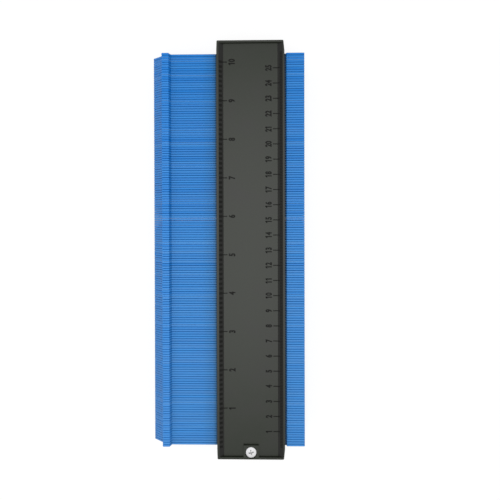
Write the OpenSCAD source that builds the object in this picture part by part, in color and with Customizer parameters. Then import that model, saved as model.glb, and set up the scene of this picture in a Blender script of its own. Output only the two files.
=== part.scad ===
// Contour gauge: a stack of thin leaves that slide across a housing of two screwed half shells.
// X runs along the leaves, Y along the housing, Z out of the scale face.
// The origin is the centre of the housing on the plane of its back rim.

/* [Leaves] */
// Leaves in one slide set
leaves_per_set = 3; // [1:1:5]
// Slide sets in the stack
set_count = 55; // [10:1:56]
// Gap between neighbouring leaves
leaf_gap = 0.08; // [0.05:0.01:0.2]
// Length of the straight shank between ridge and head
shank_l = 76.5; // [70:0.1:110]
// Height of the shank
shank_h = 16.5; // [10:0.1:17]
// Length of the wedge nose
nose_l = 7.3; // [4:0.1:12]
// Height of the nose where it leaves the ridge
nose_root_h = 12.4; // [6:0.1:14]
// Height of the blunt nose tip
nose_tip_h = 1.2; // [0.6:0.1:4]
// Length of the ridge's crest behind the nose
ridge_l = 4.7; // [3:0.1:8]
// Run of the slope from the crest down to the shank
ridge_slope = 1.2; // [0.2:0.1:3]
// Height of the ridge
ridge_h = 22.4; // [20:0.1:24]
// Length of the head at the other end
head_l = 12.1; // [6:0.1:20]
// Height of the head
head_h = 19.4; // [18.5:0.1:24]
// Corner break on the ridge and head
leaf_chamfer = 0.4; // [0.1:0.05:0.8]
// Gap between the heads and the housing with the leaves pushed forward
rest_gap = 1.3; // [0.5:0.05:10]

/* [Housing] */
// Length of the housing across the leaves
housing_l = 275.7; // [240:0.1:320]
// Width of the housing along the leaves
housing_w = 44.7; // [36:0.1:60]
// Thickness of the plate that covers the leaves
plate_t = 2.7; // [2.6:0.05:5]
// Length of the block at each end of the stack
end_block_l = 7; // [7:0.1:14]
// How far each side draws in over an end block
end_taper = 0.7; // [0.1:0.1:1.2]
// Break on the upright corners
corner_chamfer = 0.6; // [0.2:0.1:1]
// Break along the outer edges of a face
edge_chamfer = 0.4; // [0.1:0.1:0.5]
// Lead-in along each leaf mouth
mouth_chamfer = 0.5; // [0.1:0.1:1]
// Free play between a leaf and each shell
slide_gap = 0.15; // [0.1:0.05:0.4]
// Free play at each end of the stack
stack_gap = 0.3; // [0.1:0.05:1]
// Wall left round the hollows in the end blocks
core_wall = 1.6; // [1.2:0.1:2]

/* [Scale tray] */
// Depth of the tray below the rim
tray_depth = 1.4; // [0.6:0.1:2]
// Width of the rim round the tray
rim_w = 1.4; // [1:0.1:2.5]
// Width of the sloping band that carries the graduations
slope_w = 3.1; // [2:0.1:6]
// Lean of the tray's end walls
end_slope = 0.25; // [0.1:0.05:1]
// Width of the pad round the screw
pad_w = 10; // [9:0.1:14]
// Length of the pad from the end of the housing
pad_l = 9.3; // [9:0.1:14]

/* [Screws] */
// Diameter of the screw shank
screw_d = 3.5; // [2.5:0.1:4]
// Length of the screw below its head
screw_l = 18; // [14:0.5:19]
// Length of the screw's point
screw_point_l = 3; // [1:0.1:5]
// Diameter of the pan head
screw_head_d = 7.1; // [6:0.1:7.6]
// Height of the pan head
screw_head_h = 2.5; // [1.8:0.1:2.8]
// Rise of the head's dome
screw_dome = 0.4; // [0.3:0.1:1.4]
// Span of the cross recess
cross_span = 4; // [2.5:0.1:4.5]
// Width of the cross recess
cross_w = 0.9; // [0.6:0.1:1.2]
// Depth of the cross recess
cross_depth = 1.5; // [0.8:0.1:1.7]
// Distance of the screws from the ends of the housing
screw_inset = 4.4; // [4.4:0.1:4.8]
// Free play round the screw shank in its clearance hole
screw_play = 0.2; // [0.1:0.05:0.3]
// Free play round the screw shank in the boss, standing for the cut thread
thread_play = 0.05; // [0.02:0.01:0.1]
// Free play round the screw head
head_play = 0.3; // [0.2:0.05:0.4]
// How far the screw head lies below the rim
head_sink = 0.1; // [0.1:0.1:0.6]

/* [Locating pegs] */
// Diameter of a peg
peg_d = 3; // [2:0.1:3.4]
// Length of a peg
peg_l = 2; // [1:0.1:3]
// Distance of each peg from the screw
peg_x = 7.5; // [6:0.1:10]
// Free play round a peg
peg_play = 0.1; // [0.05:0.05:0.2]
// Room beyond the tip of a peg or a screw
tip_room = 0.5; // [0.2:0.1:1]

/* [Hidden] */
$fn = 64;
// How far a cut runs past the face it opens
cut = 1;

tunnel_l = housing_l - 2 * end_block_l;
stack_l = tunnel_l - 2 * stack_gap;
leaf_count = leaves_per_set * set_count;
leaf_pitch = (stack_l + leaf_gap) / leaf_count;
leaf_t = leaf_pitch - leaf_gap;
tunnel_h = shank_h / 2 + slide_gap;
panel_z = tunnel_h + plate_t;
rim_z = panel_z + tray_depth;
mid_z = rim_z;
half_w = housing_w / 2;
half_l = housing_l / 2;
screw_y = half_l - screw_inset;
seat_z = rim_z - head_sink - screw_head_h;
boss_hole_l = screw_l - seat_z + tip_room;

housing_colour = [0.15, 0.155, 0.15];
leaf_colour = [0.13, 0.4, 0.72];
screw_colour = [0.82, 0.82, 0.84];

function leaf_set_name(i) = str("leaves_", i < 10 ? "0" : "", i);

// Draws its 2-D child as a prism of length l along Y, with the child's second axis upright
module along_y(l) {
    translate([0, l / 2, 0]) rotate([90, 0, 0]) linear_extrude(l) children();
}

// Draws its 2-D child as a prism of length l along X, with the child's first axis along Y
module along_x(l) {
    translate([-l / 2, 0, 0]) rotate([90, 0, 90]) linear_extrude(l) children();
}

// Block that tapers over its height: half size at the foot z0 and at the top z1
module trapezium(foot, top, z0, z1) {
    polygon([[-foot, z0], [foot, z0], [top, z1], [-top, z1]]);
}

// Outline of a face with broken top edges
module broken_edge_section(half) {
    polygon([
        [-half, 0], [half, 0],
        [half, rim_z - edge_chamfer], [half - edge_chamfer, rim_z],
        [edge_chamfer - half, rim_z], [-half, rim_z - edge_chamfer]
    ]);
}

// Outline of the housing from above: straight along the leaves, drawn in over the end blocks
module housing_plan() {
    end_w = half_w - end_taper;
    c = corner_chamfer;
    quarter = [[half_w, tunnel_l / 2], [end_w, half_l - c], [end_w - c, half_l]];
    polygon(concat(
        [for (p = quarter) p],
        [for (i = [2:-1:0]) [-quarter[i][0], quarter[i][1]]],
        [for (p = quarter) -p],
        [for (i = [2:-1:0]) [quarter[i][0], -quarter[i][1]]]
    ));
}

// Solid form of one half, from the parting plane up to the rim
module half_block() {
    intersection() {
        linear_extrude(rim_z) housing_plan();
        along_y(housing_l) broken_edge_section(half_w);
        along_x(housing_w) broken_edge_section(half_l);
    }
}

// Space of the scale tray, with sloping long sides and the screw pad left standing
module tray() {
    floor_w = half_w - rim_w - slope_w;
    mouth_w = floor_w + slope_w * (tray_depth + cut) / tray_depth;
    floor_l = half_l - rim_w - end_slope;
    mouth_l = floor_l + end_slope * (tray_depth + cut) / tray_depth;
    difference() {
        intersection() {
            along_y(housing_l) trapezium(floor_w, mouth_w, panel_z, rim_z + cut);
            along_x(housing_w) trapezium(floor_l, mouth_l, panel_z, rim_z + cut);
        }
        translate([-pad_w / 2, -half_l, panel_z - cut]) cube([pad_w, pad_l, tray_depth + 3 * cut]);
    }
}

// Space of the leaves, flared at both mouths
module tunnel() {
    side = half_w + cut;
    inner = half_w - mouth_chamfer;
    flare = mouth_chamfer + cut;
    along_y(tunnel_l) polygon([
        [-side, -cut], [side, -cut], [side, tunnel_h + flare],
        [inner, tunnel_h], [-inner, tunnel_h], [-side, tunnel_h + flare]
    ]);
}

// Hollows in both end blocks, beside the screw and the pegs
module end_cores() {
    inner = peg_x + peg_d / 2 + peg_play + core_wall;
    core_w = half_w - end_taper - core_wall - inner;
    core_l = end_block_l - 2 * core_wall;
    core_h = panel_z - core_wall;
    for (x = [inner, -inner - core_w], y = [tunnel_l / 2 + core_wall, -half_l + core_wall])
        translate([x, y, -cut]) cube([core_w, core_l, core_h + cut]);
}

// One moulded half: screw and pegs at the -Y end, boss hole and peg sockets at the +Y end
module half_shell() {
    difference() {
        half_block();
        tray();
        tunnel();
        end_cores();
        translate([0, -screw_y, seat_z]) cylinder(d = screw_head_d + 2 * head_play, h = rim_z);
        translate([0, -screw_y, -cut]) cylinder(d = screw_d + 2 * screw_play, h = rim_z);
        translate([0, screw_y, -cut]) cylinder(d = screw_d + 2 * thread_play, h = boss_hole_l + cut);
        for (x = [-peg_x, peg_x])
            translate([x, screw_y, -cut]) cylinder(d = peg_d + 2 * peg_play, h = peg_l + tip_room + cut);
    }
    for (x = [-peg_x, peg_x])
        translate([x, -screw_y, -peg_l]) cylinder(d = peg_d, h = peg_l + cut);
}

// Pan head screw with its seat on the XY plane and its point down
module pan_screw() {
    head_r = screw_head_d / 2;
    dome_r = (head_r * head_r + screw_dome * screw_dome) / (2 * screw_dome);
    difference() {
        intersection() {
            cylinder(r = head_r, h = screw_head_h);
            translate([0, 0, screw_head_h - dome_r]) sphere(r = dome_r);
        }
        for (turn = [0, 90])
            rotate([0, 0, turn]) translate([-cross_span / 2, -cross_w / 2, screw_head_h - cross_depth])
                cube([cross_span, cross_w, cross_depth + cut]);
    }
    translate([0, 0, screw_point_l - screw_l]) cylinder(d = screw_d, h = screw_l - screw_point_l);
    translate([0, 0, -screw_l]) cylinder(d1 = 0, d2 = screw_d, h = screw_point_l);
}

// Places a part of the front half, drawn from the parting plane up
module in_front() {
    translate([0, 0, mid_z]) children();
}

// Places the same part on the back half, turned over end for end
module in_back() {
    translate([0, 0, mid_z]) rotate([180, 0, 0]) children();
}

module front_shell() {
    color(housing_colour) in_front() half_shell();
}

module back_shell() {
    color(housing_colour) in_back() half_shell();
}

module front_screw() {
    color(screw_colour) in_front() translate([0, -screw_y, seat_z]) pan_screw();
}

module back_screw() {
    color(screw_colour) in_back() translate([0, -screw_y, seat_z]) pan_screw();
}

// Upper half of a leaf's outline from nose tip to head, above the middle of its height
function leaf_outline() =
    let (
        head_x = half_w + rest_gap,
        tail_x = head_x + head_l,
        foot_x = head_x - shank_l,
        crest_x = foot_x - ridge_slope,
        nose_x = crest_x - ridge_l,
        c = leaf_chamfer
    ) [
        [nose_x - nose_l, nose_tip_h / 2],
        [nose_x, nose_root_h / 2],
        [nose_x, ridge_h / 2 - c],
        [nose_x + c, ridge_h / 2],
        [crest_x, ridge_h / 2],
        [foot_x, shank_h / 2],
        [head_x, shank_h / 2],
        [head_x, head_h / 2 - c],
        [head_x + c, head_h / 2],
        [tail_x - c, head_h / 2],
        [tail_x, head_h / 2 - c]
    ];

module leaf() {
    upper = leaf_outline();
    last = len(upper) - 1;
    along_y(leaf_t) polygon(concat(upper, [for (i = [last:-1:0]) [upper[i][0], -upper[i][1]]]));
}

// One slide set of neighbouring leaves, counted from the -Y end
module leaf_set(i) {
    first = (i - 1) * leaves_per_set;
    color(leaf_colour)
        for (k = [first:first + leaves_per_set - 1])
            translate([0, (k - (leaf_count - 1) / 2) * leaf_pitch, mid_z]) leaf();
}

front_shell();
back_shell();
front_screw();
back_screw();
for (i = [1:set_count])
    leaf_set(i);
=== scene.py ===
# %% [markdown]
# A contour gauge
#
# The gauge takes the outline of whatever it is pressed against: thin blue leaves slide through a
# long black housing, and friction holds them where they stop. The solids come packed as a frame
# that fixes every size and joint. This lesson gives each of them its real edges and finish, and
# leaves the sizes as they are.

# %% Load the frame
import math
import random

import bmesh
import bpy
from mathutils import Matrix, Vector


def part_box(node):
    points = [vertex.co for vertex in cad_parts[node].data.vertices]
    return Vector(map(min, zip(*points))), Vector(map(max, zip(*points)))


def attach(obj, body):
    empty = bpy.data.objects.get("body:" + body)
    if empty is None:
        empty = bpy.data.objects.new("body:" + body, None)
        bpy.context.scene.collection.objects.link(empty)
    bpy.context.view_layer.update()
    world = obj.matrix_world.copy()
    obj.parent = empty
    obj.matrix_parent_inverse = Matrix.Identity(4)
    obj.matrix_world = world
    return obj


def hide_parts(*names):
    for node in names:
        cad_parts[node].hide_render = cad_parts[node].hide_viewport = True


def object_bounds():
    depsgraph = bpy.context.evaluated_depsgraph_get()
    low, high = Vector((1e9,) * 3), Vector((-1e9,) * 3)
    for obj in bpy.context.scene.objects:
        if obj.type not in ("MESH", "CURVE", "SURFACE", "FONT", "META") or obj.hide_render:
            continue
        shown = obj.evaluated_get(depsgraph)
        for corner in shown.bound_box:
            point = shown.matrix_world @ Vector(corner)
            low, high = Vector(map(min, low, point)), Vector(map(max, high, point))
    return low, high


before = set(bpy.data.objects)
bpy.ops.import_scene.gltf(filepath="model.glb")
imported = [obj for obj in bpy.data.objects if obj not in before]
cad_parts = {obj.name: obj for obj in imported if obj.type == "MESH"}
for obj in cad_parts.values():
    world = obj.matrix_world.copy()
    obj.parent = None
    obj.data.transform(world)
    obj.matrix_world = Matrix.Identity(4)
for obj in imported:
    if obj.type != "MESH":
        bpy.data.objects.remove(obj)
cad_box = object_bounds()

MM = 0.001

# %% [markdown]
# Hand tools in code
#
# A modeller works with few moves: add a primitive, cut it, select some faces, push them. The
# helpers below are those moves, with all places in millimetres. Selecting by place keeps each step
# readable, and it still works when an earlier step adds a face. Everything is deselected first,
# because an operator acts on all that is selected.


# %% Blocks and cylinders
def rest_hands():
    """Leaves edit mode with nothing selected."""
    if bpy.context.mode != "OBJECT":
        bpy.ops.object.mode_set(mode="OBJECT")
    bpy.ops.object.select_all(action="DESELECT")


def add_block(low, high):
    """Adds a cube stretched from one corner to the other, with its place in its mesh."""
    rest_hands()
    middle = [(a + b) / 2 * MM for a, b in zip(low, high)]
    size = [(b - a) * MM for a, b in zip(low, high)]
    bpy.ops.mesh.primitive_cube_add(size=1, location=middle, scale=size)
    bpy.ops.object.transform_apply(location=True, rotation=True, scale=True)
    return bpy.context.object


def add_rod(x, y, low, high, radius, sides=48):
    """Adds an upright cylinder between two heights, with its place in its mesh."""
    rest_hands()
    place = (x * MM, y * MM, (low + high) / 2 * MM)
    bpy.ops.mesh.primitive_cylinder_add(
        vertices=sides,
        radius=radius * MM,
        depth=(high - low) * MM,
        location=place,
    )
    bpy.ops.object.transform_apply(location=True, rotation=True, scale=True)
    return bpy.context.object


def edit(piece):
    """Opens one piece in edit mode."""
    rest_hands()
    piece.select_set(True)
    bpy.context.view_layer.objects.active = piece
    bpy.ops.object.mode_set(mode="EDIT")


# %% Selecting by place, scoring and cutting
NEAR = 0.1


def pick(kind, test):
    """Selects the points, edges or faces whose middle, in mm, passes the test."""
    mesh = bpy.context.edit_object.data
    bpy.ops.mesh.select_mode(type=kind)
    bpy.ops.mesh.select_all(action="DESELECT")
    shape = bmesh.from_edit_mesh(mesh)
    for part in {"VERT": shape.verts, "EDGE": shape.edges, "FACE": shape.faces}[kind]:
        corners = [part] if kind == "VERT" else list(part.verts)
        middle = sum((c.co for c in corners), Vector()) / len(corners) / MM
        if test(middle, part):
            part.select_set(True)
    shape.select_flush_mode()
    bmesh.update_edit_mesh(mesh)


def score(axis, place):
    """Cuts edges right across the piece in edit mode at a place on one axis."""
    across = [float(axis == name) for name in "XYZ"]
    bpy.ops.mesh.select_all(action="SELECT")
    bpy.ops.mesh.bisect(plane_co=[place * MM * n for n in across], plane_no=across)


def carve(piece, cutter, how="DIFFERENCE"):
    """Cuts one solid out of another, or joins it on, and throws the tool away."""
    rest_hands()
    bpy.context.view_layer.objects.active = piece
    step = piece.modifiers.new("carve", "BOOLEAN")
    step.operation = how
    step.solver = "EXACT"
    step.object = cutter
    bpy.ops.object.modifier_apply(modifier=step.name)
    bpy.data.objects.remove(cutter)


def finish_piece(piece, name, body, slot, finish, *nodes):
    """Names a piece, dresses it, ties it to its body and hides the solids that it stands for."""
    rest_hands()
    piece.name = piece.data.name = name
    piece.data.materials.clear()
    piece.data.materials.append(finish)
    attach(piece, body)
    if nodes:
        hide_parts(*nodes)


# %% [markdown]
# Blue leaf plastic
#
# The leaves are moulded in a strong blue with a satin skin. No two look quite alike: each catches
# the light at its own height, and that light is painted into its tone. Most of its edges carry
# painted shade and a few carry a painted highlight. A face attribute carries that from leaf to leaf,
# so one material serves the whole stack, and a stretched noise adds the faint streaks of sliding. The
# noses are greyed, partly as scuffs from what they are pressed against and partly as a painted
# sheen. Painted shade darkens the leaves before the heads, where they enter the housing and
# behind the ridge. Ramps along the leaf lay it there.


# %% Nodes of a finish
NOISE_SPAN = 0.3, 0.7


def new_finish(name):
    """Makes a material and returns it with a short way to add and link its nodes."""
    finish = bpy.data.materials.new(name)
    finish.use_nodes = True
    tree = finish.node_tree
    shader = tree.nodes["Principled BSDF"]

    def add(kind, **settings):
        node = tree.nodes.new(kind)
        for key, value in settings.items():
            setattr(node, key, value)
        return node

    return finish, shader, add, tree.links.new


def grain(add, link, scale, stretch=(1, 1, 1), detail=3.0):
    """Adds a noise on object coordinates and returns its value socket."""
    place = add("ShaderNodeTexCoord")
    turn = add("ShaderNodeMapping")
    turn.inputs["Scale"].default_value = stretch
    noise = add("ShaderNodeTexNoise")
    noise.inputs["Scale"].default_value = scale
    noise.inputs["Detail"].default_value = detail
    link(place.outputs["Object"], turn.inputs["Vector"])
    link(turn.outputs["Vector"], noise.inputs["Vector"])
    return noise.outputs["Fac"]


def ramp(add, link, source, *stops):
    """Adds a colour ramp of (place, colour) stops and returns its colour socket."""
    node = add("ShaderNodeValToRGB")
    marks = node.color_ramp.elements
    while len(marks) < len(stops):
        marks.new(1.0)
    for mark, (place, colour) in zip(marks, stops):
        mark.position = place
        mark.color = (*colour, 1.0)
    link(source, node.inputs["Fac"])
    return node.outputs["Color"]


def range_to(add, link, source, low, high, start=0.0, end=1.0):
    """Maps a value from start and end to low and high and returns the socket."""
    node = add("ShaderNodeMapRange")
    node.inputs["From Min"].default_value = start
    node.inputs["From Max"].default_value = end
    node.inputs["To Min"].default_value = low
    node.inputs["To Max"].default_value = high
    link(source, node.inputs["Value"])
    return node.outputs["Result"]


def blend_colours(add, link, factor, first, second, mode="MIX"):
    """Mixes two colour sockets by a factor socket."""
    node = add("ShaderNodeMix", data_type="RGBA", blend_type=mode)
    link(factor, node.inputs["Factor"])
    link(first, node.inputs["A"])
    link(second, node.inputs["B"])
    return node.outputs["Result"]


def emboss(add, link, shader, height, strength, depth):
    """Roughens a surface by a height socket, with its depth in mm."""
    node = add("ShaderNodeBump")
    node.inputs["Strength"].default_value = strength
    node.inputs["Distance"].default_value = depth * MM
    link(height, node.inputs["Height"])
    link(node.outputs["Normal"], shader.inputs["Normal"])


# %% Blue of faces and edges
# Painted light: as the tone rises, the faces' blue grows paler by a painted sheen, and the edges' blue
# runs from painted shade to a painted highlight.
LEAF_BLUES_AND_SHEEN = (
    (0.0, (0.003, 0.162, 0.548)),
    (0.5, (0.031, 0.215, 0.590)),
    (1.0, (0.052, 0.224, 0.559)),
)
EDGE_SHADE_AND_HIGHLIGHT_BLUES = (
    (0.0, (0.009, 0.115, 0.37)),
    (0.6, (0.020, 0.18, 0.50)),
    (1.0, (0.16, 0.37, 0.68)),
)
LEAST_EDGE = 0.02

blue_plastic, shader, add, link = new_finish("blue_leaf_plastic")
tone_and_sheen = add("ShaderNodeAttribute", attribute_name="tone_and_sheen").outputs["Fac"]
edge_painted_light = add("ShaderNodeAttribute", attribute_name="edge_painted_light").outputs["Fac"]
is_edge = range_to(add, link, edge_painted_light, 0.0, 1.0, 0.0, LEAST_EDGE)
leaf_blue_and_sheen = ramp(add, link, tone_and_sheen, *LEAF_BLUES_AND_SHEEN)
painted_edge_blue = ramp(add, link, edge_painted_light, *EDGE_SHADE_AND_HIGHLIGHT_BLUES)
both_blues = blend_colours(add, link, is_edge, leaf_blue_and_sheen, painted_edge_blue)
print("blues of faces and edges:", len(LEAF_BLUES_AND_SHEEN), "and", len(EDGE_SHADE_AND_HIGHLIGHT_BLUES))

# %% Noses greyed by scuffs and a painted sheen, and streaks of sliding
NOSE_L = 7.3
RIDGE_L = 4.7
RIDGE_SLOPE = 1.2
NOSE_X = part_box("leaves_01")[0].x / MM + NOSE_L
RIDGE_X = NOSE_X + RIDGE_L
# The noses' grey is partly scuffs and partly a painted sheen off their slopes.
NOSE_BLUES = (0.0, (0.105, 0.190, 0.355)), (1.0, (0.080, 0.150, 0.295))
SCUFF_AND_SHEEN_FADE, SCUFF_AND_SHEEN_SHORT = 0.6, 0.7
SCUFF_AND_SHEEN_SCALE = 420
LEAST_SCUFF_AND_SHEEN, MOST_SCUFF_AND_SHEEN = 0.12, 0.42
STREAK_STRETCH = (40, 900, 500)
STREAK_SHADES = (0.35, (0.86, 0.88, 0.88)), (0.68, (1.0, 1.0, 0.957))

point = add("ShaderNodeSeparateXYZ")
link(add("ShaderNodeTexCoord").outputs["Object"], point.inputs["Vector"])


def stretch_along(low, high, at_low=0.0, at_high=1.0):
    """Maps a stretch along the leaf, in mm, to a value that runs from its low end to its high end."""
    return range_to(add, link, point.outputs["X"], at_low, at_high, low * MM, high * MM)


# Scuffs and a painted sheen grey the nose in patches towards its tip.
scuff_and_sheen_end = NOSE_X - SCUFF_AND_SHEEN_SHORT
patches = range_to(add, link, grain(add, link, SCUFF_AND_SHEEN_SCALE), LEAST_SCUFF_AND_SHEEN, MOST_SCUFF_AND_SHEEN, 0.35, 0.65)
scuff_and_sheen = add("ShaderNodeMath", operation="MULTIPLY")
link(stretch_along(scuff_and_sheen_end - SCUFF_AND_SHEEN_FADE, scuff_and_sheen_end, 1.0, 0.0), scuff_and_sheen.inputs[0])
link(patches, scuff_and_sheen.inputs[1])
nose_blue = ramp(add, link, tone_and_sheen, *NOSE_BLUES)
scuffed_and_sheened = blend_colours(add, link, scuff_and_sheen.outputs["Value"], both_blues, nose_blue)

streaks = grain(add, link, 1.0, STREAK_STRETCH)
rubbed = ramp(add, link, streaks, *STREAK_SHADES)
on_shank = stretch_along(RIDGE_X, RIDGE_X + RIDGE_SLOPE)
streaked = blend_colours(add, link, on_shank, scuffed_and_sheened, rubbed, "MULTIPLY")
print("scuff ends in mm:", round(scuff_and_sheen_end, 2), "streaks start in mm:", round(RIDGE_X, 2))

# %% Painted shade
HOUSING_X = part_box("front_shell")[1].x / MM
HEAD_GAP = 1.3
SHADE_EDGE = 0.4
MOUTH_OUT, MOUTH_IN = 10.0, 2.0
RIDGE_FOOT = 7.0
unshaded, faint_shade, soft_shade = (1, 1, 1), (0.97, 0.95, 0.93), (0.92, 0.87, 0.85)
mid_shade, deep_shade, darkest_shade = (0.76, 0.69, 0.63), (0.34, 0.31, 0.28), (0.2, 0.18, 0.17)


def grime_band(colour, low, high, *stops):
    """Multiplies a colour socket by a ramp between two places along the leaf, in mm."""
    node = add("ShaderNodeMix", data_type="RGBA", blend_type="MULTIPLY")
    node.inputs["Factor"].default_value = 1.0
    link(colour, node.inputs["A"])
    link(ramp(add, link, stretch_along(low, high), *stops), node.inputs["B"])
    return node.outputs["Result"]


# Painted shade: near black in the gap before the heads, a darkening that deepens towards the housing's
# mouth, and a faint band behind the ridge.
shade_before_heads = (0.0, unshaded), (0.2, darkest_shade), (0.8, darkest_shade), (0.82, unshaded)
shade_at_mouth = (
    (0.0, unshaded),
    (0.23, faint_shade),
    (0.57, soft_shade),
    (0.72, mid_shade),
    (0.79, deep_shade),
    (0.93, deep_shade),
    (1.0, unshaded),
)
shade_behind_ridge = (0.0, unshaded), (0.14, faint_shade), (0.35, faint_shade), (1.0, unshaded)
head_foot = HOUSING_X + HEAD_GAP
# Each band multiplies painted shade into the blue.
shaded_blue = grime_band(streaked, HOUSING_X - SHADE_EDGE, head_foot + SHADE_EDGE, *shade_before_heads)
shaded_blue = grime_band(shaded_blue, -HOUSING_X - MOUTH_OUT, -HOUSING_X + MOUTH_IN, *shade_at_mouth)
shaded_blue = grime_band(shaded_blue, RIDGE_X, RIDGE_X + RIDGE_FOOT, *shade_behind_ridge)
link(shaded_blue, shader.inputs["Base Color"])
print("head gap in mm:", HEAD_GAP, "housing mouth in mm:", round(-HOUSING_X, 2))

# %% Satin skin
SATIN = 0.36, 0.52
SKIN_SCALE, SKIN_BUMP, SKIN_DEPTH = 2500, 0.12, 0.02

link(range_to(add, link, streaks, *SATIN, *NOISE_SPAN), shader.inputs["Roughness"])
shader.inputs["Specular IOR Level"].default_value = 0.2
emboss(add, link, shader, grain(add, link, SKIN_SCALE), SKIN_BUMP, SKIN_DEPTH)
print("finish:", blue_plastic.name)

# %% [markdown]
# One leaf
#
# A leaf is a flat plate with a wedge nose, a tall ridge behind it, a straight shank for the housing
# and a head that stops it from falling through. It could be drawn as a curve, but a plate that is
# scored and snipped, as a sheet is on a bench, gives clean corners. The plate then gets its
# thickness, small breaks on its outer corners and a fine bevel round both faces. The bevel is what
# makes a line between neighbours, so it stays, but with few faces, because there are many leaves.

# %% Score and snip the plate
HEAD_L = 12.1
SHANK, HEAD, NOSE_ROOT, NOSE_TIP = 8.25, 9.7, 6.2, 0.6
LEAF_GAP = 0.08
LEAF_COUNT = 165

stack_low, stack_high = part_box("leaves_01")[0] / MM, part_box("leaves_55")[1] / MM
TIP_X, TAIL_X = stack_low.x, stack_high.x
HEAD_X = TAIL_X - HEAD_L
MID_Z = (stack_low.z + stack_high.z) / 2
RIDGE = (stack_high.z - stack_low.z) / 2
LEAF_PITCH = (stack_high.y - stack_low.y + LEAF_GAP) / LEAF_COUNT
LEAF_T = LEAF_PITCH - LEAF_GAP

rest_hands()
bpy.ops.mesh.primitive_plane_add(
    size=1,
    location=((TIP_X + TAIL_X) / 2 * MM, -LEAF_T / 2 * MM, MID_Z * MM),
    rotation=(math.pi / 2, 0, 0),
)
leaf = bpy.context.object
leaf.scale = ((TAIL_X - TIP_X) * MM, 2 * RIDGE * MM, 1)
bpy.ops.object.transform_apply(location=True, rotation=True, scale=True)
edit(leaf)
for x in (NOSE_X, RIDGE_X, HEAD_X):
    score("X", x)
for half in (NOSE_ROOT, SHANK, HEAD):
    score("Z", MID_Z + half)
    score("Z", MID_Z - half)


def leaf_reach(x):
    """Half height of a leaf at a place along it."""
    return NOSE_ROOT if x < NOSE_X else RIDGE if x < RIDGE_X else SHANK if x < HEAD_X else HEAD


pick("FACE", lambda p, face: abs(p.z - MID_Z) > leaf_reach(p.x))
bpy.ops.mesh.delete(type="FACE")
pick("VERT", lambda p, point: p.x < TIP_X + NEAR)
bpy.ops.transform.resize(value=(1, 1, NOSE_TIP / NOSE_ROOT), center_override=(0, 0, MID_Z * MM))
bpy.ops.mesh.select_all(action="SELECT")
bpy.ops.mesh.dissolve_limited(angle_limit=math.radians(1))
pick("VERT", lambda p, point: abs(p.x - RIDGE_X) < NEAR and abs(p.z - MID_Z) < SHANK + NEAR)
bpy.ops.transform.translate(value=(RIDGE_SLOPE * MM, 0, 0))
print("leaf outline points:", len(bmesh.from_edit_mesh(leaf.data).verts))

# %% Give the leaf its thickness and its edges
CORNER_BREAK = 0.4
LEAF_BEVEL = 0.25


def outer_corner(p, line):
    """Tells whether an edge is an outer corner of the ridge or the head."""
    reach = abs(p.z - MID_Z)
    of_ridge = p.x < NOSE_X + NEAR and reach > RIDGE - NEAR
    of_head = p.x > HEAD_X - NEAR and reach > HEAD - NEAR
    return abs(p.y) < NEAR and (of_ridge or of_head)


bpy.ops.mesh.select_all(action="SELECT")
bpy.ops.mesh.extrude_region_move(TRANSFORM_OT_translate={"value": (0, LEAF_T * MM, 0)})
bpy.ops.mesh.select_all(action="SELECT")
bpy.ops.mesh.normals_make_consistent(inside=False)
pick("EDGE", outer_corner)
bpy.ops.mesh.bevel(offset=CORNER_BREAK * MM, segments=1, affect="EDGES")
pick("EDGE", lambda p, line: abs(abs(p.y) - LEAF_T / 2) < NEAR / 10)
bpy.ops.mesh.bevel(offset=LEAF_BEVEL * MM, segments=1, affect="EDGES")
rest_hands()
print("leaf faces:", len(leaf.data.polygons))

# %% [markdown]
# The stack
#
# Every leaf is a copy with its own mesh, set one pitch further along. Three neighbours ride on each
# sliding body. A seeded draw gives each leaf its tone, with a painted sheen that makes it a little
# paler towards the screw end. It also gives each of the leaf's two edges its painted light: most edges
# get painted shade beside the gap, and a few get a painted highlight where a leaf stands a hair proud
# of the next.

# %% Copy the leaves
SET_COUNT, SET_OF = 55, 3
# The tone fades along the stack by a painted sheen, paler towards the screw end.
SHEEN_FADE, TONE_SPREAD = 0.4, 0.12
PLAIN_EDGE_LIGHT, LEAST_EDGE_LIGHT = 0.7, 0.05
CRISP_AT, MOST_PLAIN = 0.2, 0.5
LEAST_SLANT, MOST_SLANT = 0.2, 0.95
draw = random.Random(165)


def edge_rub(plain):
    """Draws the painted light of one edge: mostly painted shade, seldom a painted highlight, and
    evened out where edges look plain.
    """
    crisp = LEAST_EDGE_LIGHT + (1 - LEAST_EDGE_LIGHT) * draw.random() ** 3
    return PLAIN_EDGE_LIGHT * plain + crisp * (1 - plain)


def mark_leaf(mesh, along):
    """Writes a leaf's tone with its painted sheen on all its faces, and the painted shade or highlight
    of its edges on the bevels of each side.
    """
    tones = mesh.attributes.new("tone_and_sheen", "FLOAT", "FACE").data
    edges = mesh.attributes.new("edge_painted_light", "FLOAT", "FACE").data
    shade = min(1.0, max(0.0, draw.gauss(0.5 - SHEEN_FADE * along, TONE_SPREAD)))
    plain = min(MOST_PLAIN, MOST_PLAIN * abs(along - CRISP_AT))
    # Each edge gets painted shade, and now and then a painted highlight.
    edge_lights = [edge_rub(plain) for side in (-1, 1)]
    for face in mesh.polygons:
        slant = face.normal.y
        on_bevel = LEAST_SLANT < abs(slant) < MOST_SLANT
        tones[face.index].value = shade
        edges[face.index].value = edge_lights[slant > 0] if on_bevel else 0.0


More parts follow.
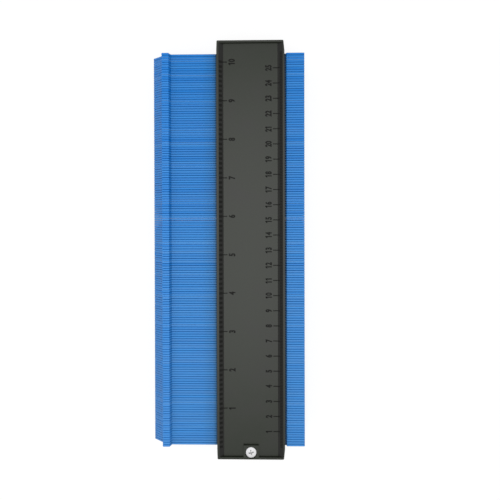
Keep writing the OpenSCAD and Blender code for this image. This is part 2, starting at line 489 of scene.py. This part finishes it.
for number in range(1, SET_COUNT + 1):
    copies = []
    for place in range(SET_OF * (number - 1), SET_OF * number):
        copy = leaf.copy()
        copy.data = leaf.data.copy()
        from_middle = place - (LEAF_COUNT - 1) / 2
        copy.data.transform(Matrix.Translation((0, from_middle * LEAF_PITCH * MM, 0)))
        bpy.context.collection.objects.link(copy)
        mark_leaf(copy.data, from_middle / LEAF_COUNT * 2)
        copies.append(copy)
    rest_hands()
    for copy in copies:
        copy.select_set(True)
    bpy.context.view_layer.objects.active = copies[0]
    bpy.ops.object.join()
    body = f"leaves_{number:02d}"
    finish_piece(copies[0], f"blue_leaves_{number:02d}", body, "leaf", blue_plastic, body)
bpy.data.objects.remove(leaf)
print("leaves:", LEAF_COUNT, "pitch in mm:", round(LEAF_PITCH, 4))

# %% [markdown]
# Black housing plastic
#
# The housing is moulded in black with a fine spark-eroded grain, which spreads the light and makes
# the flat panel look dark grey. Handling leaves faint cloudy patches. A small noise drives the
# grain as bump, a larger one drives the clouds in colour and gloss. The sloping bands under the
# graduations get painted shade, a blacker colour because they face away from the light, and a face
# attribute tells the finish where they are.

# %% Black housing finish
CLOUD_SCALE = 45
GREEN_GREY = (0.0130, 0.0165, 0.0105)
PLAIN_GREY = (0.0145, 0.0175, 0.0120)
WARM_GREY = (0.0165, 0.0178, 0.0145)
BAND_SHADE_BLACKS = (0.3, (0.0062, 0.0065, 0.0056)), (0.7, (0.0082, 0.0085, 0.0074))
GRAINED = 0.37, 0.39
SPARK_SCALE, SPARK_BUMP, SPARK_DEPTH = 3200, 0.25, 0.03

black_plastic, shader, add, link = new_finish("black_housing_plastic")
clouds = grain(add, link, CLOUD_SCALE, detail=4.0)
cloudy = ramp(add, link, clouds, (0.3, GREEN_GREY), (0.5, PLAIN_GREY), (0.72, WARM_GREY))
# Painted shade: the sloping bands are coloured blacker.
on_band = add("ShaderNodeAttribute", attribute_name="band").outputs["Fac"]
band_painted_shade = ramp(add, link, clouds, *BAND_SHADE_BLACKS)
link(blend_colours(add, link, on_band, cloudy, band_painted_shade), shader.inputs["Base Color"])
link(range_to(add, link, clouds, *GRAINED, *NOISE_SPAN), shader.inputs["Roughness"])
shader.inputs["Specular IOR Level"].default_value = 0.226
emboss(add, link, shader, grain(add, link, SPARK_SCALE, detail=2.0), SPARK_BUMP, SPARK_DEPTH)
print("finish:", black_plastic.name)

# %% [markdown]
# The front half shell
#
# Each half of the housing is a long moulding: a flat panel sunk in a rim, with sloping bands for
# the graduations, a channel for the leaves beneath, and an end block at each end. The block is cut
# the way a mould maker sinks the cavities: one cutter for the tray, one for the channel, round ones
# for the screw and pegs. The booleans keep the walls true, and one bevel at the end rounds every
# edge as moulding does.

# %% Block with drawn-in ends
shell_low, shell_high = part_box("front_shell")[0] / MM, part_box("front_shell")[1] / MM
HALF_W, HALF_L, RIM_Z = shell_high.x, shell_high.y, shell_high.z
END_BLOCK = 7.0
CHANNEL = HALF_L - END_BLOCK
NOSE_TAPER, HEAD_TAPER = 0.2, 0.7
UPRIGHT_BREAK = 0.6


def upright_corner(p, line):
    """Tells whether an edge is one of the block's upright corners."""
    at_corner = abs(p.y) > HALF_L - NEAR and abs(p.x) > HALF_W - 1
    return at_corner and abs(p.z - (MID_Z + RIM_Z) / 2) < NEAR


front_half = add_block((-HALF_W, -HALF_L, MID_Z), (HALF_W, HALF_L, RIM_Z))
edit(front_half)
score("Y", CHANNEL)
score("Y", -CHANNEL)
for side, draw_in in ((-1, NOSE_TAPER), (1, HEAD_TAPER)):
    pick("VERT", lambda p, point: abs(p.y) > HALF_L - NEAR and p.x * side > 0)
    bpy.ops.transform.translate(value=(-side * draw_in * MM, 0, 0))
pick("EDGE", upright_corner)
bpy.ops.mesh.bevel(offset=UPRIGHT_BREAK * MM, segments=2, affect="EDGES")
rest_hands()
print("half block in mm:", [round(v / MM, 2) for v in front_half.dimensions])

# %% Tray with sloping bands and the screw pad
TRAY_DEPTH = 1.4
PANEL_Z = RIM_Z - TRAY_DEPTH
RIM, BAND = 1.4, 3.1
PANEL_W = HALF_W - RIM - BAND
END_LEAN = 0.25
PANEL_L = HALF_L - RIM - END_LEAN
HEAD_BAND_MORE = 0.35
PAD_W, PAD_L = 10.0, 9.3
ABOVE = 1.0


def band_slope(x):
    """Slope of the band on one side of the tray, which is a little wider on the heads' side."""
    return TRAY_DEPTH / (BAND if x < 0 else BAND + HEAD_BAND_MORE)


tray = add_block((-PANEL_W, -PANEL_L, PANEL_Z), (PANEL_W, PANEL_L, RIM_Z + ABOVE))
edit(tray)
pick("FACE", lambda p, face: face.normal.z > 0.9)
rise = (TRAY_DEPTH + ABOVE) / TRAY_DEPTH
wide = 1 + rise * BAND / PANEL_W
long = 1 + rise * END_LEAN / PANEL_L
bpy.ops.transform.resize(value=(wide, long, 1), center_override=(0, 0, 0))
pick("VERT", lambda p, point: p.x > 0 and p.z > RIM_Z)
bpy.ops.transform.translate(value=(rise * HEAD_BAND_MORE * MM, 0, 0))
pad = add_block(
    (-PAD_W / 2, -HALF_L - ABOVE, PANEL_Z - ABOVE),
    (PAD_W / 2, PAD_L - HALF_L, RIM_Z + 2 * ABOVE),
)
carve(tray, pad)
carve(front_half, tray)
print("tray floor in mm:", round(2 * PANEL_W, 2), "by", round(2 * PANEL_L, 2))

# %% Channel for the leaves, with flared mouths
SLIDE_GAP = 0.15
CHANNEL_Z = MID_Z + SHANK + SLIDE_GAP
FLARE = 0.5

channel = add_block(
    (-HALF_W - ABOVE, -CHANNEL, MID_Z - ABOVE),
    (HALF_W + ABOVE, CHANNEL, CHANNEL_Z),
)
edit(channel)
score("X", HALF_W - FLARE)
score("X", FLARE - HALF_W)
pick("EDGE", lambda p, line: abs(p.x) > HALF_W and p.z > CHANNEL_Z - NEAR and abs(p.y) < 1)
bpy.ops.transform.translate(value=(0, 0, (FLARE + ABOVE) * MM))
carve(front_half, channel)
print("channel height in mm:", round(CHANNEL_Z - MID_Z, 2))

# %% Screw seat, boss, pegs and hollows of the end blocks
SCREW_INSET = 4.4
SCREW_Y = HALF_L - SCREW_INSET
HEAD_R, HEAD_H, HEAD_SINK = 3.45, 2.5, 0.1
SHANK_R, SCREW_L = 1.75, 18.0
SEAT_Z = RIM_Z - HEAD_SINK - HEAD_H
HEAD_PLAY, HOLE_PLAY, BOSS_PLAY = 0.4, 0.2, 0.05
TIP_ROOM = 0.5
BOSS_TOP = MID_Z + SCREW_L - (SEAT_Z - MID_Z) + TIP_ROOM
PEG_X, PEG_R, PEG_L, PEG_PLAY = 7.5, 1.5, 2.0, 0.1
CORE_WALL = 1.6
CORE_X = PEG_X + PEG_R + PEG_PLAY + CORE_WALL
CORE_OUT = HALF_W - HEAD_TAPER - CORE_WALL

carve(front_half, add_rod(0, -SCREW_Y, SEAT_Z, RIM_Z + ABOVE, HEAD_R + HEAD_PLAY))
carve(front_half, add_rod(0, -SCREW_Y, MID_Z - ABOVE, RIM_Z, SHANK_R + HOLE_PLAY))
carve(front_half, add_rod(0, SCREW_Y, MID_Z - ABOVE, BOSS_TOP, SHANK_R + BOSS_PLAY))
for side in (-1, 1):
    socket_top = MID_Z + PEG_L + TIP_ROOM
    carve(front_half, add_rod(side * PEG_X, SCREW_Y, MID_Z - ABOVE, socket_top, PEG_R + PEG_PLAY))
    carve(front_half, add_rod(side * PEG_X, -SCREW_Y, MID_Z - PEG_L, MID_Z + ABOVE, PEG_R), "UNION")
    for end in (-1, 1):
        x = sorted((side * CORE_X, side * CORE_OUT))
        y = sorted((end * (CHANNEL + CORE_WALL), end * (HALF_L - CORE_WALL)))
        hollow = add_block((x[0], y[0], MID_Z - ABOVE), (x[1], y[1], PANEL_Z - CORE_WALL))
        carve(front_half, hollow)
print("shell faces before the bevel:", len(front_half.data.polygons))

# %% Rounded edges
EDGE_ROUND = 0.3
SHARP = math.radians(20)


def shade_evenly(piece):
    """Shades a piece by angle and keeps its flat faces flat to the light."""
    rest_hands()
    piece.select_set(True)
    bpy.context.view_layer.objects.active = piece
    bpy.ops.object.shade_smooth_by_angle(angle=SHARP)
    step = piece.modifiers.new("flat faces", "WEIGHTED_NORMAL")
    step.keep_sharp = True
    bpy.ops.object.modifier_apply(modifier=step.name)


def round_edges(piece, width, segments):
    """Bevels every sharp edge of a piece."""
    rest_hands()
    bpy.context.view_layer.objects.active = piece
    step = piece.modifiers.new("rounded edges", "BEVEL")
    step.width = width * MM
    step.segments = segments
    step.limit_method = "ANGLE"
    step.angle_limit = SHARP
    bpy.ops.object.modifier_apply(modifier=step.name)


round_edges(front_half, EDGE_ROUND, 2)
shade_evenly(front_half)
print("shell faces after the bevel:", len(front_half.data.polygons))

# %% Mark the sloping bands for their painted shade
LEAN_PLAY = 0.02

# Faces on the sloping bands are marked for their painted shade.
bands = front_half.data.attributes.new("band", "FLOAT", "FACE").data
for face in front_half.data.polygons:
    lean = math.sin(math.atan(band_slope(face.center.x)))
    leans = abs(abs(face.normal.x) - lean) < LEAN_PLAY
    bands[face.index].value = float(leans and face.normal.z > 0.9)
print("faces on the bands:", sum(mark.value > 0 for mark in bands))

# %% [markdown]
# The back half shell
#
# The back is the same moulding turned over end for end, so its screw pad lies at the other end.
# Copying the mesh and turning it half a turn about the middle of the gauge keeps both halves alike.
# A turn leaves the faces outward, which a mirror would not.

# %% Turn a copy over
to_middle = Matrix.Translation((0, 0, MID_Z * MM))
OVER = to_middle @ Matrix.Rotation(math.pi, 4, "X") @ to_middle.inverted()


def turned_over(piece):
    """Returns a copy of a front piece turned over end for end, with its own mesh."""
    copy = piece.copy()
    copy.data = piece.data.copy()
    copy.data.transform(OVER)
    bpy.context.collection.objects.link(copy)
    return copy


back_half = turned_over(front_half)
finish_piece(front_half, "front_half", "housing", "housing", black_plastic, "front_shell")
finish_piece(back_half, "back_half", "housing", "housing", black_plastic, "back_shell")
print("halves:", front_half.name, back_half.name)

# %% [markdown]
# Graduations and numerals
#
# The tray carries an inch scale on one side and a centimetre scale on the other, moulded a tenth of
# a millimetre proud and left black and dull, so they show dark against the grained panel. A tick
# follows the panel and climbs the sloping band: a thin strip is scored at the foot of the band and
# its outer end lifted. One strip of each kind is repeated along the scale by an array. The numerals
# are text, set across the rule and read from its screw end.

# %% Black marking finish
INKS = (0.3, (0.0055, 0.0058, 0.0050)), (0.7, (0.0075, 0.0077, 0.0068))
INK_SCALE = 900
INK_DULL = 0.5, 0.62

black_marking, shader, add, link = new_finish("black_marking")
speck = grain(add, link, INK_SCALE)
link(ramp(add, link, speck, *INKS), shader.inputs["Base Color"])
link(range_to(add, link, speck, *INK_DULL, *NOISE_SPAN), shader.inputs["Roughness"])
shader.inputs["Specular IOR Level"].default_value = 0.09
print("finish:", black_marking.name)

# %% Ticks
SCALE_ZERO = -129.9
CM, INCH = 10, 25.4
CM_COUNT, INCH_COUNT = 25, 10
PROUD = 0.1
SUNK = 0.05


def face_height(x):
    """Height of the tray's surface at a place across it."""
    return PANEL_Z + max(0.0, abs(x) - PANEL_W) * band_slope(x)


def tick_row(inner, outer, width, first, step, count):
    """Makes one tick between two places across the tray and repeats it along the scale."""
    y = SCALE_ZERO + first
    low, high = sorted((inner, outer))
    row = add_block(
        (low, y - width / 2, PANEL_Z - SUNK),
        (high, y + width / 2, PANEL_Z + PROUD),
    )
    edit(row)
    foot = math.copysign(PANEL_W, outer)
    if low < foot < high:
        score("X", foot)
    for place in (inner, outer):
        pick("VERT", lambda p, point: abs(p.x - place) < NEAR / 10)
        bpy.ops.transform.translate(value=(0, 0, (face_height(place) - PANEL_Z) * MM))
    rest_hands()
    bpy.context.view_layer.objects.active = row
    repeat = row.modifiers.new("scale", "ARRAY")
    repeat.count = count
    repeat.use_relative_offset = False
    repeat.use_constant_offset = True
    repeat.constant_offset_displace = (0, step * MM, 0)
    bpy.ops.object.modifier_apply(modifier=repeat.name)
    return row


rows = [
    tick_row(inner=19.2, outer=20.7, width=0.5, first=0, step=1, count=261),
    tick_row(inner=14.8, outer=19.1, width=0.6, first=CM, step=CM, count=CM_COUNT),
    tick_row(inner=-18.7, outer=-20.7, width=1.6, first=0, step=INCH / 8, count=8 * INCH_COUNT + 1),
    tick_row(inner=-15.4, outer=-18.7, width=0.6, first=INCH, step=INCH, count=INCH_COUNT),
]
for row in rows:
    row.select_set(True)
bpy.context.view_layer.objects.active = rows[0]
bpy.ops.object.join()
front_ticks = rows[0]
back_ticks = turned_over(front_ticks)
finish_piece(front_ticks, "front_graduations", "housing", "housing", black_marking)
finish_piece(back_ticks, "back_graduations", "housing", "housing", black_marking)
print("tick faces:", len(front_ticks.data.polygons))

# %% Digits
CAP = 0.7
BOLD = 0.24
FLAG_W = 0.6
FLAG_REACH, FLAG_TOP, FLAG_BACK = 0.36, 0.86, 0.13


def one_flag(x, y, height):
    """Makes the slanting flag of a figure one, from its top back towards the digit before it."""
    reach = FLAG_REACH * height
    flag = add_block((-reach / 2, -FLAG_W / 2, -PROUD), (reach / 2, FLAG_W / 2, PROUD))
    place = Vector((x - FLAG_TOP * height, y - FLAG_BACK * height, PANEL_Z)) * MM
    flag.data.transform(Matrix.Translation(place) @ Matrix.Rotation(-math.pi / 4, 4, "Z"))
    return flag


def digit(sign, x, y, height, narrow):
    """Sets one digit across the rule with its foot at x, centred on y, and returns its meshes."""
    rest_hands()
    place = Vector((x, y, PANEL_Z)) * MM
    bpy.ops.object.text_add(location=place, rotation=(0, 0, math.pi / 2))
    letter = bpy.context.object
    letter.data.body = sign
    letter.data.size = height / CAP * MM
    letter.data.align_x = "CENTER"
    letter.data.extrude = PROUD * MM
    letter.data.offset = BOLD * MM
    letter.data.resolution_u = 4
    letter.scale = (narrow, 1, 1)
    bpy.ops.object.convert(target="MESH")
    bpy.ops.object.transform_apply(location=True, rotation=True, scale=True)
    return [letter, one_flag(x, y, height)] if sign == "1" else [letter]


# %% Numerals along both scales
DIGIT_PITCH = 2.0
CM_FOOT, CM_HEIGHT, CM_NARROW = 13.7, 3.8, 0.7
INCH_FOOT, INCH_HEIGHT, INCH_NARROW = -10.4, 3.9, 0.74


def numeral(number, x, y, height, narrow):
    """Sets a whole number centred on its tick and returns its meshes."""
    signs = str(number)
    first = y - (len(signs) - 1) / 2 * DIGIT_PITCH
    meshes = []
    for place, sign in enumerate(signs):
        meshes += digit(sign, x, first + place * DIGIT_PITCH, height, narrow)
    return meshes


numbers = []
for cm in range(1, CM_COUNT + 1):
    numbers += numeral(cm, CM_FOOT, SCALE_ZERO + CM * cm, CM_HEIGHT, CM_NARROW)
for inch in range(1, INCH_COUNT + 1):
    numbers += numeral(inch, INCH_FOOT, SCALE_ZERO + INCH * inch, INCH_HEIGHT, INCH_NARROW)
rest_hands()
for number in numbers:
    number.select_set(True)
front_numerals = bpy.context.view_layer.objects.active = numbers[0]
bpy.ops.object.join()
back_numerals = turned_over(front_numerals)
finish_piece(front_numerals, "front_numerals", "housing", "housing", black_marking)
finish_piece(back_numerals, "back_numerals", "housing", "housing", black_marking)
print("numeral faces:", len(front_numerals.data.polygons))

# %% [markdown]
# Zinc plated screws
#
# A pan head screw with a cross recess holds the halves together at each end, one from the front and
# one from behind. The plating is bright and slightly uneven, and painted shade darkens it down in
# the recess. The head is a cylinder whose top is inset ring by ring and lifted along a low dome, and
# the core is drawn down from the underside. The recess is cut by two tapered bars, as the driver bit
# has two tapered wings. The thread is a triangle wound up the core, much as a lathe cuts it.

# %% Bright zinc finish
BRIGHT_ZINC = (0.3, (0.56, 0.56, 0.57)), (0.7, (0.64, 0.64, 0.645))
# Painted shade: the zinc down in the recess is a darker grey.
RECESS_SHADE_ZINC = (0.3, (0.50, 0.50, 0.505)), (0.7, (0.57, 0.57, 0.575))
PLATING_SCALE, PLATING_BUMP, PLATING_DEPTH = 700, 0.1, 0.02
PLATED = 0.66, 0.78

bright_zinc, shader, add, link = new_finish("bright_zinc")
shader.inputs["Metallic"].default_value = 1.0
plating = grain(add, link, PLATING_SCALE, detail=4.0)
bright = ramp(add, link, plating, *BRIGHT_ZINC)
recess_shaded_zinc = ramp(add, link, plating, *RECESS_SHADE_ZINC)
in_recess_shade = add("ShaderNodeAttribute", attribute_name="recess").outputs["Fac"]
link(blend_colours(add, link, in_recess_shade, bright, recess_shaded_zinc), shader.inputs["Base Color"])
link(range_to(add, link, plating, *PLATED, *NOISE_SPAN), shader.inputs["Roughness"])
emboss(add, link, shader, plating, PLATING_BUMP, PLATING_DEPTH)
print("finish:", bright_zinc.name)

# %% Screw head and core
DOME, POINT_L = 0.4, 3.0
DOME_RINGS = (3.2, 2.8, 2.3, 1.5, 0.6)
CORE_R = 1.3
POINT_TIP = 0.06
DOME_R = (HEAD_R**2 + DOME**2) / (2 * DOME)


def dome_height(radius):
    """Height of the domed head over its seat, at a distance from the screw's axis."""
    return HEAD_H - DOME_R + math.sqrt(DOME_R**2 - radius**2)


screw = add_rod(0, -SCREW_Y, SEAT_Z, SEAT_Z + HEAD_H - DOME, HEAD_R)
edit(screw)
pick("FACE", lambda p, face: face.normal.z > 0.9)
radius, height = HEAD_R, HEAD_H - DOME
for ring in DOME_RINGS:
    bpy.ops.mesh.inset(thickness=(radius - ring) * MM, use_even_offset=True)
    bpy.ops.transform.translate(value=(0, 0, (dome_height(ring) - height) * MM))
    radius, height = ring, dome_height(ring)
pick("FACE", lambda p, face: face.normal.z < -0.9)
bpy.ops.mesh.inset(thickness=(HEAD_R - CORE_R) * MM, use_even_offset=True)
for length in (SCREW_L - POINT_L, POINT_L):
    bpy.ops.mesh.extrude_region_move(TRANSFORM_OT_translate={"value": (0, 0, -length * MM)})
screw_axis = (0, -SCREW_Y * MM, 0)
bpy.ops.transform.resize(value=(POINT_TIP, POINT_TIP, 1), center_override=screw_axis)
rest_hands()
print("screw faces:", len(screw.data.polygons))

# %% Cross recess
CROSS, CROSS_W, CROSS_DEPTH = 5.6, 1.1, 1.5
CROSS_FOOT, CROSS_FOOT_W = 1.0, 0.6
CROSS_TURN = math.radians(12)
SCREW_ROUND = 0.08

here = Matrix.Translation(screw_axis)
for quarter in (0, 1):
    bar = add_block(
        (-CROSS / 2, -SCREW_Y - CROSS_W / 2, SEAT_Z + HEAD_H - CROSS_DEPTH),
        (CROSS / 2, -SCREW_Y + CROSS_W / 2, SEAT_Z + HEAD_H + ABOVE),
    )
    edit(bar)
    pick("FACE", lambda p, face: face.normal.z < -0.9)
    foot = (CROSS_FOOT / CROSS, CROSS_FOOT_W / CROSS_W, 1)
    bpy.ops.transform.resize(value=foot, center_override=screw_axis)
    rest_hands()
    turn = Matrix.Rotation(CROSS_TURN + quarter * math.pi / 2, 4, "Z")
    bar.data.transform(here @ turn @ here.inverted())
    carve(screw, bar)
round_edges(screw, SCREW_ROUND, 2)
print("screw faces with recess:", len(screw.data.polygons))

# %% Thread
PITCH, TURNS = 1.25, 10
THREAD_FOOT = 0.05
THREAD_W = 0.9
ROUND_STEPS = 24

thread_depth = SHANK_R - CORE_R + THREAD_FOOT
rest_hands()
bpy.ops.mesh.primitive_circle_add(
    vertices=3,
    radius=MM,
    fill_type="NOTHING",
    location=((SHANK_R - thread_depth * 2 / 3) * MM, 0, 0),
    rotation=(math.pi / 2, math.pi / 2, 0),
)
thread = bpy.context.object
thread.scale = (THREAD_W / math.sqrt(3), thread_depth * 2 / 3, 1)
bpy.ops.object.transform_apply(location=True, rotation=True, scale=True)
step = thread.modifiers.new("helix", "SCREW")
step.axis = "Z"
step.screw_offset = PITCH * MM
step.iterations = TURNS
step.steps = step.render_steps = ROUND_STEPS
bpy.ops.object.modifier_apply(modifier=step.name)
edit(thread)
bpy.ops.mesh.select_all(action="SELECT")
bpy.ops.mesh.fill_holes(sides=3)
bpy.ops.mesh.select_all(action="SELECT")
bpy.ops.mesh.normals_make_consistent(inside=False)
thread_low = SEAT_Z - SCREW_L + POINT_L + THREAD_W / 2
bpy.ops.transform.translate(value=(0, -SCREW_Y * MM, thread_low * MM))
rest_hands()
print("thread faces:", len(thread.data.polygons))
carve(screw, thread, "UNION")
shade_evenly(screw)
print("screw faces with thread:", len(screw.data.polygons))

# %% Painted shade in the recess and the second screw
RECESS_SKIN = 0.12
RECESS_IN, RECESS_OUT = 0.5, 2

# Faces down in the cross recess are marked for painted shade, a darker zinc.
recess = screw.data.attributes.new("recess", "FLOAT", "FACE").data
for face in screw.data.polygons:
    middle = face.center / MM - Vector((0, -SCREW_Y, SEAT_Z))
    reach = math.hypot(middle.x, middle.y)
    sunk = HEAD_H - CROSS_DEPTH - NEAR < middle.z < dome_height(min(reach, HEAD_R)) - RECESS_SKIN
    recess[face.index].value = float(sunk and RECESS_IN < reach < RECESS_OUT)
back_screw = turned_over(screw)
finish_piece(screw, "front_pan_screw", "housing", "screw", bright_zinc, "front_screw")
finish_piece(back_screw, "back_pan_screw", "housing", "screw", bright_zinc, "back_screw")
print("dull faces:", sum(mark.value > 0 for mark in recess))

# %% [markdown]
# Floor, light and camera
#
# The gauge lies on a white table under one wide soft light, seen from straight above. The light is
# smaller than the sky over the table, so the flat panel mirrors it faintly in the middle and less
# towards its ends, and the sloping bands, which face away from it, stay dark. The floor and the sky
# show plain white to the camera and in mirrors, so the white comes from them and not from more
# light on the gauge, and the floor keeps a soft shadow.

# %% Rays that see the background
def background_rays(tree):
    """Returns a socket that is 1 for what is seen straight, in a mirror or through glass."""
    rays = tree.nodes.new("ShaderNodeLightPath")
    seen = rays.outputs["Is Camera Ray"]
    for kind in ("Is Glossy Ray", "Is Transmission Ray"):
        either = tree.nodes.new("ShaderNodeMath")
        either.operation = "MAXIMUM"
        tree.links.new(seen, either.inputs[0])
        tree.links.new(rays.outputs[kind], either.inputs[1])
        seen = either.outputs[0]
    return seen


def mix_shaders(tree, factor, first, second, output):
    """Mixes two shaders by a factor socket and links them to the output node."""
    mix = tree.nodes.new("ShaderNodeMixShader")
    tree.links.new(factor, mix.inputs[0])
    tree.links.new(first.outputs[0], mix.inputs[1])
    tree.links.new(second.outputs[0], mix.inputs[2])
    tree.links.new(mix.outputs[0], tree.nodes[output].inputs["Surface"])


# %% Floor
FLOOR_SIZE = 12
FLOOR_PAINT = (0.92, 0.92, 0.92, 1)
FLOOR_SHARE = 0.8

rest_hands()
bpy.ops.mesh.primitive_plane_add(size=FLOOR_SIZE, location=(0, 0, cad_box[0][2]))
floor = bpy.context.object
floor.name = "floor"
white_table = bpy.data.materials.new("white_table")
white_table.use_nodes = True
tree = white_table.node_tree
tree.nodes.remove(tree.nodes["Principled BSDF"])
paint = tree.nodes.new("ShaderNodeBsdfDiffuse")
paint.inputs["Color"].default_value = FLOOR_PAINT
plain = tree.nodes.new("ShaderNodeEmission")
share = tree.nodes.new("ShaderNodeMath")
share.operation = "MULTIPLY"
share.inputs[1].default_value = FLOOR_SHARE
tree.links.new(background_rays(tree), share.inputs[0])
mix_shaders(tree, share.outputs[0], paint, plain, "Material Output")
floor.data.materials.append(white_table)
print("floor in m:", FLOOR_SIZE)

# %% Sky and soft light
WHITE = (1, 1, 1, 1)
SKY_LIGHT = 0.70
SOFTBOX_PLACE = (0.0, -0.035, 0.95)
SOFTBOX_W, SOFTBOX_L = 0.5, 0.90
SOFTBOX_POWER = 5.7

world = bpy.data.worlds.new("studio")
world.use_nodes = True
bpy.context.scene.world = world
tree = world.node_tree
sky = tree.nodes["Background"]
sky.inputs["Color"].default_value = WHITE
sky.inputs["Strength"].default_value = SKY_LIGHT
backdrop = tree.nodes.new("ShaderNodeBackground")
backdrop.inputs["Color"].default_value = WHITE
backdrop.inputs["Strength"].default_value = 1.0
mix_shaders(tree, background_rays(tree), sky, backdrop, "World Output")

bpy.ops.object.light_add(type="AREA", location=SOFTBOX_PLACE)
softbox = bpy.context.object
softbox.name = "softbox"
softbox.data.shape = "RECTANGLE"
softbox.data.size = SOFTBOX_W
softbox.data.size_y = SOFTBOX_L
softbox.data.energy = SOFTBOX_POWER
print("softbox in m:", SOFTBOX_W, "by", SOFTBOX_L)

# %% Camera
CAMERA_PLACE = (-0.06, 20.86, 310.36)
CAMERA_TURN = (-0.424, 0.955, -0.133)
CAMERA_LENS = 31.29
IMAGE_SIZE = 500
SHIFT_X, SHIFT_Y = 6.7, -28.0
NEAREST_SEEN = 0.01

bpy.ops.object.camera_add(
    location=[v * MM for v in CAMERA_PLACE],
    rotation=[math.radians(v) for v in CAMERA_TURN],
)
camera = bpy.context.object
camera.data.lens = CAMERA_LENS
camera.data.sensor_width = 36
camera.data.shift_x = SHIFT_X / IMAGE_SIZE
camera.data.shift_y = SHIFT_Y / IMAGE_SIZE
camera.data.clip_start = NEAREST_SEEN
bpy.context.scene.camera = camera
bpy.context.scene.view_settings.view_transform = "Standard"
print("camera in mm:", CAMERA_PLACE)

# %% [markdown]
# Finish
#
# The dressed gauge has to keep the size of its solids. At the end nothing is left selected.

# %% Finish
rest_hands()
